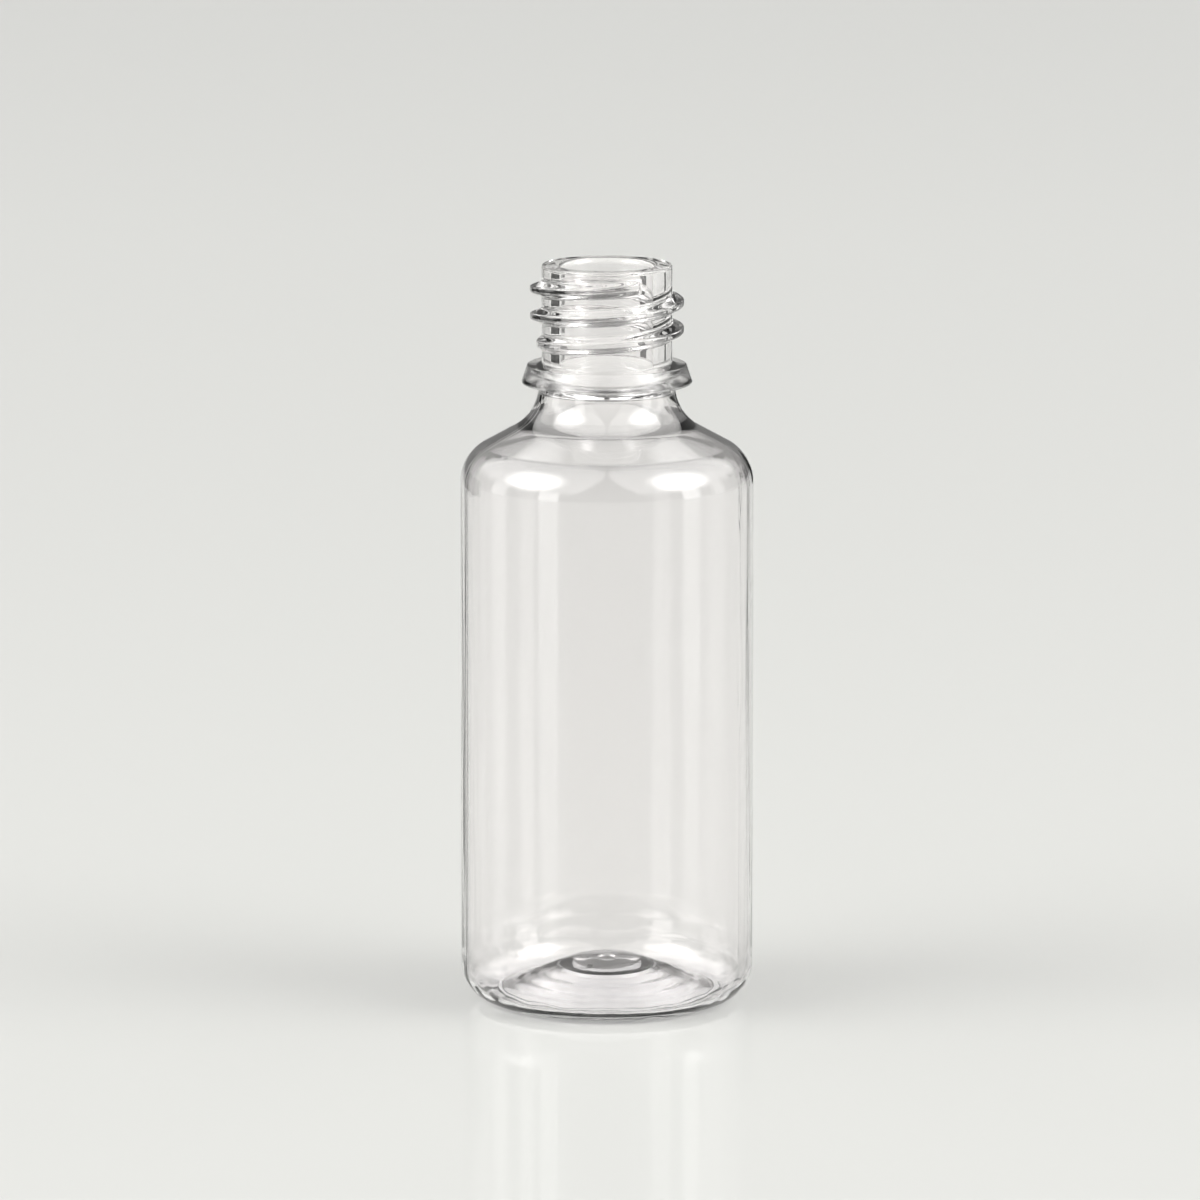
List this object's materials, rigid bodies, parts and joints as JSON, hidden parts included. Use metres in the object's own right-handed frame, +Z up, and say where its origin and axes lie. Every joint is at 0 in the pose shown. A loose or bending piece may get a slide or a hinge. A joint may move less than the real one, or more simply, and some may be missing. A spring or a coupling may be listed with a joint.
{
  "type": "pet bottle",
  "caption": "Small clear round bottle with a straight body, sloping shoulder, pushed-up base, flanged neck and right-hand screw thread.",
  "frame": {"origin": "centre of the standing ring, on the surface that the bottle stands on", "axes": "+Z up along the bottle's axis towards the mouth; +Y away from the viewer and +X to the right in the reference view"},
  "size_m": [0.034, 0.034, 0.0863],
  "materials": {
    "clear_pet": "clear, smooth and glossy"
  },
  "bodies": {
    "root": {"bottle": "clear_pet"}
  },
  "joints": []
}
